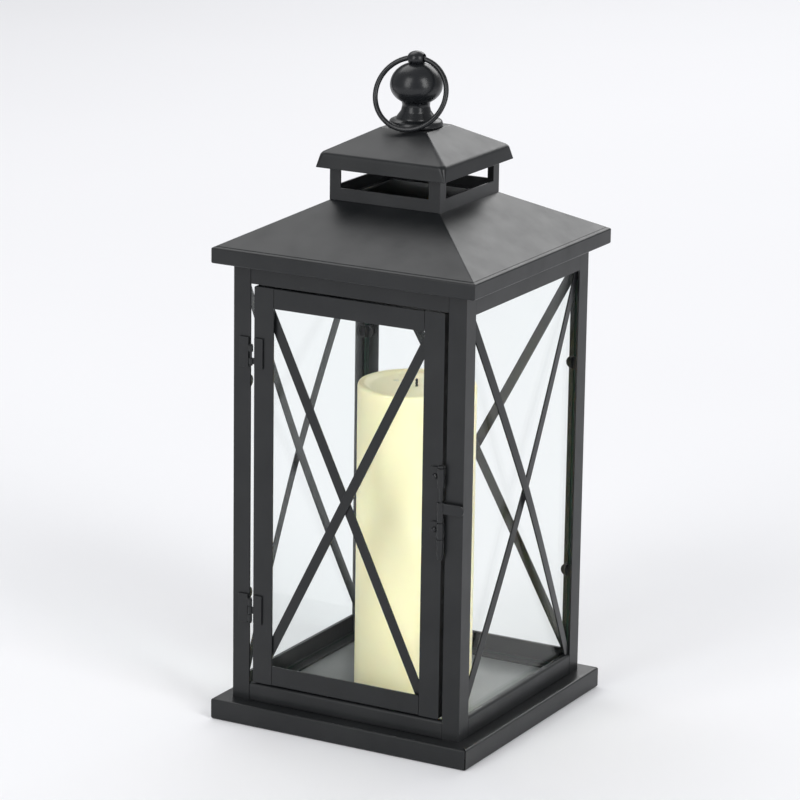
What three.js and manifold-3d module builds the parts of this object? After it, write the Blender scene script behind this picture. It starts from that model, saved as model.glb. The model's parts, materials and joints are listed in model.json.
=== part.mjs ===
// Square metal lantern with a hinged glass door, a vented roof, a ring handle and an LED pillar candle.
// Millimetres, +Z up. The origin is the centre of the footprint at floor level and the door faces -Y.
import * as THREE from "three";
import { mergeVertices } from "three/addons/utils/BufferGeometryUtils.js";
import Module from "manifold-3d";

const wasm = await Module();
wasm.setup();

// ---- driving dimensions ----
const GAP = 0.3;            // air left between pieces that touch

const BASE_HALF = 91.7;     // plinth tray, half its width
const BASE_H = 13.3;
const BASE_SHEET = 1.0;
const BASE_LIP = 9.0;       // hem turned in under the tray

const BODY = 81.5;          // half the width over the posts
const SHEET = 1.2;
const LEG = 12.0;           // leg of each corner angle
const BODY_LOW = BASE_H + GAP;
const BODY_TOP = 296.4;
const FOOT_IN = 69.8;       // inner edge of the rails' flat legs

const TAB_TIP = 70.3;       // hooked tabs that hold the panes
const TAB_ROOT = 73.3;
const TAB_LEVELS = [[216.3, 224.3], [77.8, 85.8]];
const DIMPLE_R = 3.4;       // round dimples pressed into the back legs above the tabs
const DIMPLE_DEEP = 0.8;
const DIMPLE_IN = 75.4;
const DIMPLE_LEVELS = [231.8, 93.5];

const LOW_RAIL = { front: 25.2, side: 27.0 };     // top edge of the low rails
const HIGH_RAIL = { front: 284.6, side: 282.2 };  // lower edge of the high rails

const ARM_W = 6.4;          // flat bar of the crosses
const ARM_T = 1.0;
const ARM_OUT = 80.0;       // outer face of the outer bar
// Ends of each bar as [half span, height at the left end, height at the right end, bow at the crossing].
const SIDE_OUTER = [72.3, 280.7, 19.3, 5.0];
const SIDE_INNER = [72.3, 29.5, 282.0, 3.6];
const DOOR_OUTER = [55.3, 47.4, 266.8, 0];
const DOOR_INNER = [55.3, 264.6, 31.7, 0];
const GLASS_OUT = 77.4;     // outer face of the panes
const GLASS_T = 2.0;
const GLASS_HALF = 72.8;
const DOOR_GLASS_HALF = 64.0;
const DOOR_GLASS_LOW = 29.0;
const DOOR_GLASS_TOP = 280.4;

const DOOR_HALF = 66.8;
const DOOR_LOW = 26.0;
const DOOR_TOP = 283.4;
const STILE = 13.8;
const DOOR_RAIL = 12.8;
const RETURN_IN = 74.1;     // how far back the door's folded edge reaches
const DOOR_TABS = [[70.0, 78.0], [232.0, 240.0]];
const DOOR_TAB = 6.5;       // reach of the stiles' glass tabs

const HINGE_X = -68.15;     // hinge pin, in the slit beside the door
const HINGE_Y = -83.0;
const HINGE_PIN_R = 0.7;
const HINGE_BORE_R = 0.78;
const KNUCKLE_R = 1.4;
const HINGE_HEAD_R = 1.2;   // rolled-over ends of the pin
const HINGE_POST_EDGE = -76.9;
const HINGE_DOOR_EDGE = -60.0;
const HINGE_SIDE = 2.05;    // plate edge to pin axis
const PLATE_T = 1.0;        // sheet of the hinge plates and latch brackets

const LATCH_X = 67.4;       // upright latch rod
const LATCH_Y = -84.1;
const LATCH_ROD_R = 1.2;
const LATCH_BORE_R = 1.3;
const BARREL_R = 2.1;
const ROD_LOW = 129.5;
const ROD_NECK = 142.9;
const ROD_HEAD = 188.1;
const ROD_TOP = 189.7;
const LEVER_LOW = 153.6;
const LEVER_TOP = 166.4;
const LEVER_END = 83.4;
const LEVER_ARM_LOW = 159.3;
const LEVER_ARM_R = 3.4;
const LEVER_T = 1.2;
const RIVET_X = 62.6;
const RIVET_HOLE_R = 1.4;
const RIVET_R = 1.05;
const RIVET_HEAD_R = 1.8;
const RIVET_TAIL_R = 1.9;
const RIVET_LEVELS = { upper: 182.0, lower: 148.2 };

const RIM_HALF = 91.9;      // roof
const RIM_LOW = 296.7;
const RIM_TOP = 306.3;
const SLOPE = 0.5066;
const ROOF_EYE = 37.0;      // half width of the hole under the chimney
const SOFFIT_IN = 70.0;

const CHIM_HALF = 38.8;     // vented box on the roof
const CHIM_LOW = 334.1;
const CHIM_TOP = 364.3;
const SLOT_HALF = 31.0;
const SLOT_LOW = 341.4;
const SLOT_TOP = 357.0;

const CAP_LOW = 354.1;      // small roof
const CAP_RIM_TOP = 363.1;
const CAP_FLAT = 377.5;
const CAP_HALF = 45.3;
const CAP_HALF_TOP = 43.9;
const CAP_FLAT_HALF = 16.5;

const EYE_Z = 419.75;       // eye through the finial's knob
const EYE_R = 2.5;
const EYE_TURN = THREE.MathUtils.degToRad(8);
const RING_R = 23.0;        // to the middle of the wire
const RING_WIRE = 1.6;
const RING_LEAN = THREE.MathUtils.degToRad(25.6);
const SCREW_R = 2.0;        // screw that holds the finial from inside the cap
const SCREW_TOP = 388.0;

const CANDLE_X = 3.2;
const CANDLE_Y = 1.0;
const CANDLE_R = 37.5;
const CANDLE_LOW = BASE_H + GAP;
const CANDLE_TOP = 213.6;
const CANDLE_WALL = 3.0;
const CANDLE_DISH = CANDLE_TOP - 2.4;   // floor of the shallow dish round the wick
const CANDLE_ROOF = CANDLE_TOP - 7.0;   // inner face of the candle's top
const WICK_R = 1.0;
const WICK_TOP = 216.1;
const SENSOR = { x: -17.2, y: 4.2, r: 1.8 };
const PLUG_TOP = 17.2;      // base plug of the candle
const WELL_R = 22.0;        // battery well
const WELL_IN = 18.6;
const WELL_TOP = 73.0;
const COVER_R = 20.0;
const COVER_TOP = 16.1;
const CELL_RING = 9.6;      // AA cells stand on this radius
const CELL_MID = 42.4;
const LED_POST_R = 6.0;
const LED_POST_TOP = 196.0;
const LED_BOARD_R = 14.0;
const LED_BOARD_T = 1.6;

// ---- finishes ----
const finish = (color, roughness, metalness, extra = {}) =>
  new THREE.MeshStandardMaterial({ color, roughness, metalness, ...extra });
const black = finish(0x2c2d2f, 0.48, 0.35);
const cast = finish(0x26282a, 0.34, 0.5);
const glass = finish(0xdfeeee, 0.05, 0.0, { transparent: true, opacity: 0.3 });
const wax = finish(0xefe9c4, 0.55, 0.0);
const ivory = finish(0xe4dcc0, 0.5, 0.0);
const steel = finish(0x9a9da1, 0.35, 0.9);
const wickBlack = finish(0x1d1a18, 0.8, 0.0);
const board = finish(0x2f6b45, 0.6, 0.0);
const lens = finish(0xfff0c8, 0.15, 0.0);
const cell = finish(0x6f7479, 0.4, 0.4);

// ---- shape helpers ----
const bare = (geometry) => {
  const g = geometry.clone();
  g.deleteAttribute("normal");
  g.deleteAttribute("uv");
  return mergeVertices(g, 1e-4);
};
const toSolid = (geometry) => {
  const g = bare(geometry);
  return new wasm.Manifold(new wasm.Mesh({
    numProp: 3,
    vertProperties: new Float32Array(g.attributes.position.array),
    triVerts: new Uint32Array(g.index.array),
  }));
};
const toGeometry = (solid) => {
  const mesh = solid.getMesh();
  const g = new THREE.BufferGeometry();
  g.setAttribute("position", new THREE.BufferAttribute(new Float32Array(mesh.vertProperties), 3));
  g.setIndex(new THREE.BufferAttribute(new Uint32Array(mesh.triVerts), 1));
  g.computeVertexNormals();
  return g;
};
const join = (first, ...rest) => toGeometry(rest.reduce((s, g) => s.add(toSolid(g)), toSolid(first)));
const cut = (first, ...rest) => toGeometry(rest.reduce((s, g) => s.subtract(toSolid(g)), toSolid(first)));
const overlap = (first, second) => toGeometry(toSolid(first).intersect(toSolid(second)));

// A block between two corners.
const block = (x0, x1, y0, y1, z0, z1) =>
  new THREE.BoxGeometry(x1 - x0, y1 - y0, z1 - z0).translate((x0 + x1) / 2, (y0 + y1) / 2, (z0 + z1) / 2);
const outline = (points) => new THREE.Shape(points.map(([a, b]) => new THREE.Vector2(a, b)));
// A flat outline given in (y, z), swept along X.
const sweepX = (points, x0, x1) => {
  const g = new THREE.ExtrudeGeometry(outline(points), { depth: x1 - x0, bevelEnabled: false });
  const turn = new THREE.Matrix4().makeBasis(
    new THREE.Vector3(0, 1, 0), new THREE.Vector3(0, 0, 1), new THREE.Vector3(1, 0, 0));
  return g.applyMatrix4(turn).translate(x0, 0, 0);
};
// A flat outline given in (x, z), swept along Y.
const sweepY = (shape, y0, y1) => {
  const s = Array.isArray(shape) ? outline(shape) : shape;
  const g = new THREE.ExtrudeGeometry(s, { depth: y1 - y0, bevelEnabled: false, curveSegments: 8 });
  return g.rotateX(Math.PI / 2).translate(0, y1, 0);
};
// A flat outline given in (x, y), swept along Z.
const sweepZ = (shape, z0, z1) => {
  const s = Array.isArray(shape) ? outline(shape) : shape;
  const g = new THREE.ExtrudeGeometry(s, { depth: z1 - z0, bevelEnabled: false, curveSegments: 8 });
  return g.translate(0, 0, z0);
};
// A profile of (radius, z) turned about the upright axis.
const turned = (points, segments = 32) => {
  const profile = points.map(([r, z]) => new THREE.Vector2(r, z));
  return new THREE.LatheGeometry(profile, segments).rotateX(Math.PI / 2);
};
// A folded square sheet: a profile of (half width, z) carried round four mitred corners.
const folded = (points) => {
  const profile = points.map(([h, z]) => new THREE.Vector2(h * Math.SQRT2, z));
  return new THREE.LatheGeometry(profile, 4, Math.PI / 4).rotateX(Math.PI / 2);
};
const rod = (r, z0, z1, segments = 20) =>
  new THREE.CylinderGeometry(r, r, z1 - z0, segments).rotateX(Math.PI / 2).translate(0, 0, (z0 + z1) / 2);
const acrossY = (r, x, z, y0, y1, segments = 16) =>
  new THREE.CylinderGeometry(r, r, y1 - y0, segments).translate(x, (y0 + y1) / 2, z);
const closed = (points) => [...points, points[0]];

const lantern = new THREE.Group();
lantern.name = "lantern";
const put = (group, name, geometry, material) => {
  const mesh = new THREE.Mesh(geometry, material);
  mesh.name = name;
  group.add(mesh);
  return mesh;
};

// ---- plinth ----
// An upside-down tray of sheet metal with its edge hemmed in underneath.
const trayIn = BASE_HALF - BASE_SHEET;
const hemIn = BASE_HALF - BASE_LIP;
put(lantern, "base_tray", cut(
  block(-BASE_HALF, BASE_HALF, -BASE_HALF, BASE_HALF, 0, BASE_H),
  block(-trayIn, trayIn, -trayIn, trayIn, BASE_SHEET, BASE_H - BASE_SHEET),
  block(-hemIn, hemIn, -hemIn, hemIn, -1, BASE_SHEET + 0.5),
), black);

// ---- corner posts ----
// Each post is a folded angle. Two hooked tabs on a leg hold the neighbouring pane against the crosses.
const legIn = BODY - SHEET;
const postOutline = [
  [-BODY, -BODY], [-BODY + LEG, -BODY], [-BODY + LEG, -legIn], [-legIn, -legIn],
  [-legIn, -BODY + LEG], [-BODY, -BODY + LEG],
];
// Tab on the leg that faces -Y: a web standing in from the leg and a round-ended lip over the glass.
const legTab = (z0, z1) => {
  const r = (z1 - z0) / 2;
  const lip = new THREE.Shape();
  lip.moveTo(-TAB_ROOT - SHEET, z0).lineTo(-TAB_TIP - r, z0);
  lip.absarc(-TAB_TIP - r, z0 + r, r, -Math.PI / 2, Math.PI / 2, false);
  lip.lineTo(-TAB_ROOT - SHEET, z1);
  return join(
    block(-TAB_ROOT - SHEET, -TAB_ROOT, -legIn - SHEET / 3, -RETURN_IN, z0, z1),
    sweepY(lip, -RETURN_IN - 1.0, -RETURN_IN));
};
const legDimple = (z) => acrossY(DIMPLE_R, -DIMPLE_IN, z, -legIn - DIMPLE_DEEP, -legIn + 1, 24);
// The same piece turned onto the other leg. It is symmetric about the level z.
const otherLeg = (geometry, z) => {
  const turn = new THREE.Matrix4().makeBasis(
    new THREE.Vector3(0, 1, 0), new THREE.Vector3(1, 0, 0), new THREE.Vector3(0, 0, -1));
  return geometry.clone().applyMatrix4(turn).translate(0, 0, 2 * z);
};
// The door fills the front, so the front legs carry no tabs. Only the legs at the back have dimples.
["front_left", "front_right", "back_right", "back_left"].forEach((corner, turn) => {
  const tabs = [];
  const dimples = [];
  TAB_LEVELS.forEach(([z0, z1]) => {
    if (corner !== "front_left") tabs.push(legTab(z0, z1));
    if (corner !== "front_right") tabs.push(otherLeg(legTab(z0, z1), (z0 + z1) / 2));
  });
  DIMPLE_LEVELS.forEach((z) => {
    if (corner === "back_right") dimples.push(legDimple(z));
    if (corner === "back_left") dimples.push(otherLeg(legDimple(z), z));
  });
  const post = cut(join(sweepZ(postOutline, BODY_LOW, BODY_TOP), ...tabs), ...dimples);
  put(lantern, `post_${corner}`, post, black).rotation.z = turn * Math.PI / 2;
});

// ---- rails, crosses and panes ----
const railEnd = BODY - LEG - GAP;
const ROLL_R = 2.2;         // rolled top edge of the low rails
const ROLL_IN = 78.0;
const BOW_STEPS = 16;
const BOW_POWER = 1.5;      // between a fold (1) and a round arc (2)
// Low angle: flat leg on the plinth, upright leg flush with the posts, its top edge rolled over.
const lowRail = (top) => {
  const r = ROLL_R;
  const nose = [];
  for (let i = 0; i <= 5; i += 1) {
    const a = Math.PI / 2 + i * Math.PI / 10;
    nose.push([-BODY + r + r * Math.cos(a), top - r + r * Math.sin(a)]);
  }
  return sweepX([
    [-BODY, BODY_LOW], [-FOOT_IN, BODY_LOW], [-FOOT_IN, BODY_LOW + SHEET], [-legIn, BODY_LOW + SHEET],
    [-legIn, top - r], [-legIn + SHEET / 2, top - SHEET], [-ROLL_IN, top - SHEET], [-ROLL_IN, top], ...nose,
  ], -railEnd, railEnd);
};
// High angle: upright leg flush with the posts, flat leg turned inwards under the roof.
const highRail = (low) => sweepX([
  [-BODY, low], [-legIn, low], [-legIn, BODY_TOP - SHEET], [-FOOT_IN, BODY_TOP - SHEET],
  [-FOOT_IN, BODY_TOP], [-BODY, BODY_TOP],
], -railEnd, railEnd);
// Slanting flat bar with upright ends, bowed outwards in the middle, trimmed between two levels.
const flatBar = ([half, zLeft, zRight, bow], face, low, top) => {
  const rise = Math.hypot(2 * half, zRight - zLeft) / (2 * half) * ARM_W / 2;
  const strip = sweepY([
    [-half, zLeft - rise], [half, zRight - rise], [half, zRight + rise], [-half, zLeft + rise],
  ], -face - bow - 1, -face + ARM_T + 1);
  const plan = [];
  for (let i = 0; i <= BOW_STEPS; i += 1) {
    const t = 2 * i / BOW_STEPS - 1;
    plan.push([t * half, -face - bow * (1 - Math.abs(t) ** BOW_POWER)]);
  }
  const back = plan.map(([x, y]) => [x, y + ARM_T]).reverse();
  return overlap(strip, sweepZ([...plan, ...back], low, top));
};
const armIn = ARM_OUT - ARM_T - GAP;

put(lantern, "rail_bottom_front", lowRail(LOW_RAIL.front), black);
put(lantern, "rail_top_front", highRail(HIGH_RAIL.front), black);

const PANE_LOW = BODY_LOW + SHEET + GAP;
const PANE_TOP = BODY_TOP - SHEET - GAP;
const sideArm = (ends, face) => flatBar(ends, face, LOW_RAIL.side + GAP, PANE_TOP);
["right", "back", "left"].forEach((side, i) => {
  const panel = new THREE.Group();
  panel.rotation.z = (i + 1) * Math.PI / 2;
  lantern.add(panel);
  put(panel, `rail_bottom_${side}`, lowRail(LOW_RAIL.side), black);
  put(panel, `rail_top_${side}`, highRail(HIGH_RAIL.side), black);
  put(panel, `cross_${side}_outer`, sideArm(SIDE_OUTER, ARM_OUT), black);
  put(panel, `cross_${side}_inner`, sideArm(SIDE_INNER, armIn), black);
  put(panel, `pane_${side}`,
    block(-GLASS_HALF, GLASS_HALF, -GLASS_OUT, -GLASS_OUT + GLASS_T, PANE_LOW, PANE_TOP), glass);
});

// ---- door ----
// Four folded strips, a cross behind them and a pane held by hooked tabs on the stiles.
const door = new THREE.Group();
lantern.add(door);
const DOOR_IN = DOOR_HALF - STILE;
const stile = (sign) => {
  const outlineXY = [
    [sign * DOOR_IN, -BODY], [sign * DOOR_HALF, -BODY], [sign * DOOR_HALF, -RETURN_IN],
    [sign * (DOOR_HALF - SHEET), -RETURN_IN], [sign * (DOOR_HALF - SHEET), -legIn], [sign * DOOR_IN, -legIn],
  ];
  const ends = [sign * (DOOR_HALF - SHEET - DOOR_TAB), sign * (DOOR_HALF - SHEET / 2)].sort((a, b) => a - b);
  const tabs = DOOR_TABS.map(([z0, z1]) => block(ends[0], ends[1], -RETURN_IN - 1.0, -RETURN_IN, z0, z1));
  return join(sweepZ(outlineXY, DOOR_LOW, DOOR_TOP), ...tabs);
};
// Face strip between the stiles, with its outer edge folded back and running on behind both stiles.
const doorRail = (edge, plain) => {
  const skin = Math.sign(edge - plain) * SHEET;
  const reach = DOOR_HALF - SHEET - GAP;
  const [low, top] = [edge, edge - skin].sort((a, b) => a - b);
  return join(
    sweepX([
      [-BODY, edge], [-BODY, plain], [-legIn, plain], [-legIn, edge - skin],
      [-RETURN_IN, edge - skin], [-RETURN_IN, edge],
    ], -DOOR_IN + GAP, DOOR_IN - GAP),
    block(-reach, reach, -legIn + GAP, -RETURN_IN, low, top));
};
put(door, "door_stile_hinge", stile(-1), black);
const rivetHole = (z) => acrossY(RIVET_HOLE_R, RIVET_X, z, -BODY - 1, -legIn + 1);
put(door, "door_stile_latch", cut(stile(1), ...Object.values(RIVET_LEVELS).map(rivetHole)), black);
put(door, "door_rail_top", doorRail(DOOR_TOP, DOOR_TOP - DOOR_RAIL), black);
put(door, "door_rail_bottom", doorRail(DOOR_LOW, DOOR_LOW + DOOR_RAIL), black);
const doorArm = (ends, face) => flatBar(ends, face, DOOR_LOW + SHEET + GAP, DOOR_TOP - SHEET - GAP);
put(door, "door_cross_outer", doorArm(DOOR_OUTER, ARM_OUT), black);
put(door, "door_cross_inner", doorArm(DOOR_INNER, armIn), black);
put(door, "door_pane", block(-DOOR_GLASS_HALF, DOOR_GLASS_HALF, -GLASS_OUT, -GLASS_OUT + GLASS_T,
  DOOR_GLASS_LOW, DOOR_GLASS_TOP), glass);

// ---- hinges ----
// Surface plates on the post and on the stile, with knuckles round a headed pin in front of the slit.
const knuckle = (z0, z1) => rod(KNUCKLE_R, z0, z1, 18).translate(HINGE_X, HINGE_Y, 0);
const PLATE_IN = BODY + GAP;
const PLATE_OUT = PLATE_IN + PLATE_T;
const hingePlate = (side, low, high, knuckles) => {
  const far = side < 0 ? HINGE_POST_EDGE : HINGE_DOOR_EDGE;
  const near = HINGE_X + side * HINGE_SIDE;
  const x = [far, near].sort((a, b) => a - b);
  // short straps reach from the plate into the knuckles
  const strap = [near - side * KNUCKLE_R, near + side * 0.2].sort((a, b) => a - b);
  const parts = knuckles.flatMap(([z0, z1]) => [
    knuckle(z0, z1), block(strap[0], strap[1], -PLATE_OUT, -PLATE_IN, z0, z1),
  ]);
  const whole = join(block(x[0], x[1], -PLATE_OUT, -PLATE_IN, low, high), ...parts);
  return cut(whole, rod(HINGE_BORE_R, low - 5, high + 5, 18).translate(HINGE_X, HINGE_Y, 0));
};
const hingePin = (z0, z1) => {
  const head = [[0, 3 * GAP], [HINGE_HEAD_R - GAP, 3 * GAP], [HINGE_HEAD_R, 2 * GAP], [HINGE_HEAD_R, GAP],
    [HINGE_PIN_R, GAP]];
  return turned([
    ...head.map(([r, z]) => [r, z0 - z]), ...head.map(([r, z]) => [r, z1 + z]).reverse(),
  ], 18).translate(HINGE_X, HINGE_Y, 0);
};
const hinge = (name, low, high, onPost, onDoor) => {
  put(lantern, `hinge_${name}_post_plate`, hingePlate(-1, low, high, onPost), black);
  put(door, `hinge_${name}_door_plate`, hingePlate(1, low, high, onDoor), black);
  const levels = [...onPost, ...onDoor].flat();
  put(lantern, `hinge_${name}_pin`, hingePin(Math.min(...levels), Math.max(...levels)), black);
};
hinge("upper", 231.5, 250.8, [[241.9, 245.9]], [[233.9, 237.9]]);
hinge("lower", 65.2, 84.0, [[66.4, 71.2], [76.6, 81.4]], [[71.5, 76.3]]);

// ---- latch ----
// Two riveted brackets hold an upright rod. A lever with a flat arm turns on the rod and laps over the post.
const bracket = (x0, z0, z1, rivetZ) => {
  const plate = sweepY((() => {
    const r = 2.0;
    const s = new THREE.Shape();
    s.moveTo(x0 + r, z0).lineTo(LATCH_X, z0).lineTo(LATCH_X, z1).lineTo(x0 + r, z1);
    s.absarc(x0 + r, z1 - r, r, Math.PI / 2, Math.PI, false);
    s.absarc(x0 + r, z0 + r, r, Math.PI, Math.PI * 1.5, false);
    return s;
  })(), -PLATE_OUT, -PLATE_IN);
  const eye = rod(BARREL_R + 0.2, z0, z1, 20).translate(LATCH_X, LATCH_Y, 0);
  return cut(join(plate, eye),
    rod(LATCH_ROD_R + GAP, z0 - 2, z1 + 2, 20).translate(LATCH_X, LATCH_Y, 0),
    acrossY(RIVET_HOLE_R, RIVET_X, rivetZ, -PLATE_OUT - 1, -PLATE_IN + 1));
};
put(door, "latch_bracket_upper", bracket(58.6, 175.8, 187.8, RIVET_LEVELS.upper), black);
put(door, "latch_bracket_lower", bracket(59.3, 143.2, 153.2, RIVET_LEVELS.lower), black);
Object.entries(RIVET_LEVELS).forEach(([level, z]) => {
  const headFace = -PLATE_OUT - GAP;
  const tailFace = -legIn + GAP;
  const profile = [
    [0, headFace - 1.0], [0.8, headFace - 0.9], [1.5, headFace - 0.5], [RIVET_HEAD_R, headFace],
    [RIVET_R, headFace], [RIVET_R, tailFace], [RIVET_TAIL_R, tailFace], [RIVET_TAIL_R, tailFace + 0.6],
    [0, tailFace + 0.6],
  ];
  const points = profile.map(([r, y]) => new THREE.Vector2(r, y));
  put(door, `latch_rivet_${level}`, new THREE.LatheGeometry(points, 16).translate(RIVET_X, 0, z), cast);
});
put(door, "latch_rod", turned([
  [0, ROD_LOW], [1.0, ROD_LOW + 0.1], [1.6, ROD_LOW + 1.5], [2.2, ROD_LOW + 5], [2.25, ROD_NECK],
  [LATCH_ROD_R, ROD_NECK], [LATCH_ROD_R, ROD_HEAD], [1.9, ROD_HEAD], [1.9, ROD_TOP - 0.5],
  [1.3, ROD_TOP], [0, ROD_TOP],
], 20).translate(LATCH_X, LATCH_Y, 0), black);
const leverRoot = LATCH_X + LATCH_ROD_R + 0.4;
const leverTip = LEVER_END - LEVER_ARM_R;
const leverArm = new THREE.Shape();
leverArm.moveTo(leverRoot, LEVER_ARM_LOW).lineTo(leverTip, LEVER_ARM_LOW);
leverArm.absarc(leverTip, LEVER_ARM_LOW + LEVER_ARM_R, LEVER_ARM_R, -Math.PI / 2, Math.PI / 2, false);
leverArm.lineTo(leverRoot, LEVER_ARM_LOW + 2 * LEVER_ARM_R);
put(door, "latch_lever", cut(
  join(rod(BARREL_R, LEVER_LOW, LEVER_TOP, 20).translate(LATCH_X, LATCH_Y, 0),
    sweepY(leverArm, LATCH_Y - LEVER_T / 2, LATCH_Y + LEVER_T / 2)),
  rod(LATCH_BORE_R, LEVER_LOW - 1, LEVER_TOP + 1, 20).translate(LATCH_X, LATCH_Y, 0),
), black);

// ---- roof, vent box and cap ----
const skinDrop = 1.12;      // upright thickness of the sloping sheet
const slopeAt = (half) => RIM_TOP + (RIM_HALF - half) * SLOPE;
put(lantern, "roof", folded(closed([
  [SOFFIT_IN, RIM_LOW], [RIM_HALF, RIM_LOW], [RIM_HALF, RIM_TOP], [ROOF_EYE, slopeAt(ROOF_EYE)],
  [ROOF_EYE, slopeAt(ROOF_EYE) - skinDrop], [RIM_HALF - 1, slopeAt(RIM_HALF - 1) - skinDrop],
  [RIM_HALF - 1, RIM_LOW + 1], [SOFFIT_IN, RIM_LOW + 1],
])), black);

const chimneyWall = folded(closed([
  [CHIM_HALF - 1, CHIM_LOW], [CHIM_HALF, CHIM_LOW], [CHIM_HALF, CHIM_TOP], [CHIM_HALF - 1, CHIM_TOP],
]));
put(lantern, "vent_box", cut(chimneyWall,
  block(-SLOT_HALF, SLOT_HALF, -60, 60, SLOT_LOW, SLOT_TOP),
  block(-60, 60, -SLOT_HALF, SLOT_HALF, SLOT_LOW, SLOT_TOP),
), black);

const capSlope = (CAP_FLAT - CAP_RIM_TOP) / (CAP_HALF_TOP - CAP_FLAT_HALF);
const capIn = CAP_HALF_TOP - 1;
put(lantern, "cap", cut(folded([
  [0, CAP_FLAT - 1], [CAP_FLAT_HALF - 0.3, CAP_FLAT - 1], [capIn, CAP_RIM_TOP + capSlope - 1.13],
  [CAP_HALF - 1, CAP_LOW], [CAP_HALF, CAP_LOW], [CAP_HALF_TOP, CAP_RIM_TOP],
  [CAP_FLAT_HALF, CAP_FLAT], [0, CAP_FLAT],
]), rod(SCREW_R + 2 * GAP, 370, 380, 20)), black);

// ---- finial and ring ----
const BALL = { r: 16.4, z: 403.0, top: 14.4, bottom: 12.3 };
const KNOB = { r: 6.1, z: 419.8, top: 4.6, bottom: 4.6 };
// Part of an oval's outline, with its upper and lower halves of different heights.
const bulge = ({ r, z, top, bottom }, from, to, steps) => {
  const points = [];
  for (let i = 0; i <= steps; i += 1) {
    const a = from + (to - from) * i / steps;
    points.push([r * Math.cos(a), z + (a > 0 ? top : bottom) * Math.sin(a)]);
  }
  return points;
};
const FINIAL_LOW = CAP_FLAT + GAP;
const eyeCut = new THREE.CylinderGeometry(EYE_R, EYE_R, 20, 20).rotateZ(Math.PI / 2)
  .rotateZ(EYE_TURN).translate(0, 0, EYE_Z);
put(lantern, "finial", cut(turned([
  [0, FINIAL_LOW], [16.5, FINIAL_LOW], [16.9, 378.3], [17.0, 379.3], [16.6, 380.4], [15.6, 381.4],
  [13.9, 382.2], [12.5, 382.4], [12.1, 383.2], [11.4, 384.2], [10.2, 385.8], [9.3, 387.5], [8.8, 389.2],
  [8.6, 391.0],
  ...bulge(BALL, -0.98, 1.25, 17),
  ...bulge(KNOB, -0.72, Math.PI / 2 - 0.12, 9), [0, KNOB.z + KNOB.top],
], 30), eyeCut, rod(SCREW_R + GAP, 370, SCREW_TOP + 1, 18)), cast);
put(lantern, "finial_screw", join(
  rod(SCREW_R, 373, SCREW_TOP, 18),
  new THREE.CylinderGeometry(5.0, 5.0, 3.8, 6).rotateX(Math.PI / 2).translate(0, 0, 374.3),
), steel);

// The ring threads the knob's eye. Its wire curves inside the straight eye, so it is set a little high.
const ring = new THREE.Group();
ring.position.set(0, 0, EYE_Z);
ring.rotation.z = EYE_TURN;
lantern.add(ring);
const ringMesh = put(ring, "ring_handle", new THREE.TorusGeometry(RING_R, RING_WIRE, 10, 60), cast);
ringMesh.rotation.x = Math.PI / 2 - RING_LEAN;
ringMesh.position.set(0, -Math.sin(RING_LEAN), -Math.cos(RING_LEAN)).multiplyScalar(RING_R - 0.33);

// ---- LED pillar candle ----
const candle = new THREE.Group();
candle.position.set(CANDLE_X, CANDLE_Y, 0);
lantern.add(candle);
const shellIn = CANDLE_R - CANDLE_WALL;
put(candle, "candle_shell", cut(turned(closed([
  [shellIn, CANDLE_LOW], [CANDLE_R, CANDLE_LOW], [CANDLE_R, CANDLE_TOP - 2.4], [37.2, CANDLE_TOP - 1.1],
  [36.4, CANDLE_TOP - 0.2], [35.2, CANDLE_TOP], [33.6, CANDLE_TOP - 0.3], [31.8, CANDLE_TOP - 1.1],
  [29.6, CANDLE_TOP - 1.9], [26.6, CANDLE_DISH],
  [WICK_R + 0.4, CANDLE_DISH], [WICK_R + 0.4, CANDLE_ROOF], [shellIn, CANDLE_ROOF],
]), 44), rod(SENSOR.r + 0.4, CANDLE_ROOF - 1, CANDLE_TOP, 16).translate(SENSOR.x, SENSOR.y, 0)), wax);

// Base plug with a round battery well that opens downwards.
const PLUG_LOW = CANDLE_LOW + 0.6;
const SLIDE = { x0: 25.0, x1: 30.0, half: 5.6 };
put(candle, "candle_base", cut(
  join(rod(shellIn - 0.4, PLUG_LOW, PLUG_TOP, 40), rod(WELL_R, PLUG_TOP - 0.4, WELL_TOP, 32)),
  rod(WELL_IN, 10, WELL_TOP - 2, 32),
  rod(COVER_R + GAP, 10, COVER_TOP + GAP, 32),
  block(SLIDE.x0, SLIDE.x1, -SLIDE.half, SLIDE.half, 10, 30),
), ivory);
put(candle, "battery_cover", cut(rod(COVER_R, PLUG_LOW, COVER_TOP, 32),
  block(-7, 7, -1.1, 1.1, 10, PLUG_LOW + 0.9)), ivory);
for (let i = 0; i < 3; i += 1) {
  const a = Math.PI / 2 + i * Math.PI * 2 / 3;
  const g = turned([
    [0, -24.6], [6.7, -24.6], [7.1, -24.2], [7.1, 23.0], [6.7, 23.4], [2.7, 23.4], [2.7, 24.6], [0, 24.6],
  ], 24);
  if (i === 1) g.rotateX(Math.PI);    // the middle cell faces the other way
  g.translate(CELL_RING * Math.cos(a), CELL_RING * Math.sin(a), CELL_MID);
  put(candle, `battery_${i + 1}`, g, cell);
}
put(candle, "switch_slider", join(
  block(SLIDE.x0 + GAP, SLIDE.x1 - GAP, -SLIDE.half + GAP, -GAP, 14.5, 18.0),
  block(SLIDE.x0 - 1.6, SLIDE.x1 + 1.6, -SLIDE.half - 1.0, 1.0, PLUG_TOP + GAP, 18.7),
), wickBlack);
const postIn = LED_POST_R - 1.5;
put(candle, "led_post", turned(closed([
  [postIn, WELL_TOP + GAP], [LED_POST_R, WELL_TOP + GAP], [LED_POST_R, LED_POST_TOP], [postIn, LED_POST_TOP],
]), 24), ivory);
const boardLow = LED_POST_TOP + GAP;
put(candle, "led_board", rod(LED_BOARD_R, boardLow, boardLow + LED_BOARD_T, 32), board);
const ledLow = boardLow + LED_BOARD_T + GAP;
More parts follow.
